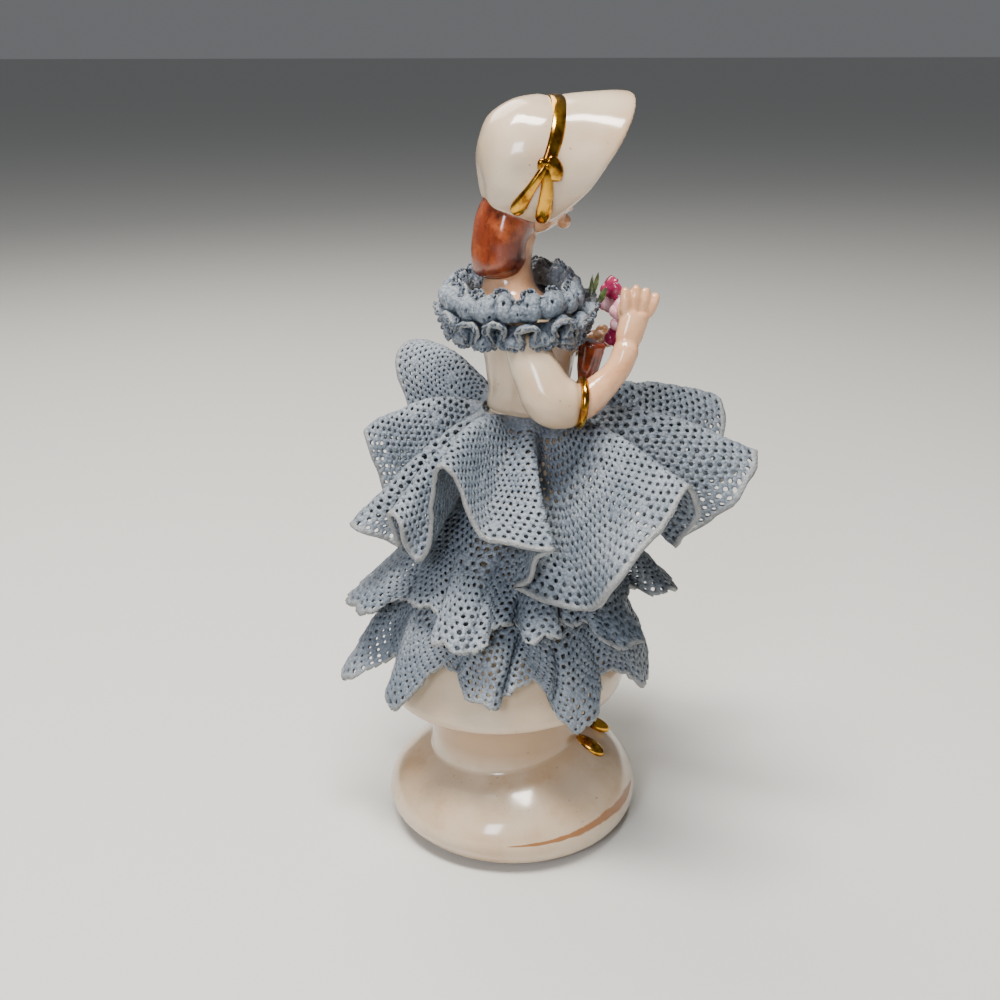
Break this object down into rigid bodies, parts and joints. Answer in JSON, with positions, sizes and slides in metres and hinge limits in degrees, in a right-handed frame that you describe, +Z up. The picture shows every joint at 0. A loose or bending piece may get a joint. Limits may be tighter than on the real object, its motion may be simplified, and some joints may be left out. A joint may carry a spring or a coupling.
{
  "type": "dresden lace figurine",
  "caption": "Porcelain lady in a poke bonnet on a round plinth, with a gathered lace skirt and ruff, holding a posy of roses; stands as an ornament.",
  "frame": {"origin": "centre of the plinth's flat underside", "axes": "+Z up through the figure; she faces -Y; +X is her left"},
  "size_m": [0.0557, 0.0605, 0.1096],
  "materials": {
    "glazed_porcelain": "high gloss",
    "porcelain_lace": "grainy, low sheen",
    "rose_magenta": "gloss",
    "rose_pink": "gloss",
    "leaf_green": "gloss",
    "russet_glaze": "gloss",
    "gilding": "bright gold"
  },
  "bodies": {
    "root": {"figure": "glazed_porcelain", "skirt_flounce_top": "porcelain_lace", "skirt_flounce_middle": "porcelain_lace", "skirt_flounce_bottom": "porcelain_lace", "ruff": "porcelain_lace", "posy_cornet": "russet_glaze", "posy_rose_1": "rose_magenta", "posy_rose_2": "rose_pink", "posy_rose_3": "rose_magenta", "posy_rose_4": "rose_pink", "posy_rose_5": "rose_magenta", "posy_rose_6": "rose_pink", "posy_rose_7": "rose_magenta", "posy_leaf_1": "leaf_green", "posy_leaf_2": "leaf_green", "posy_leaf_3": "leaf_green"}
  },
  "joints": []
}
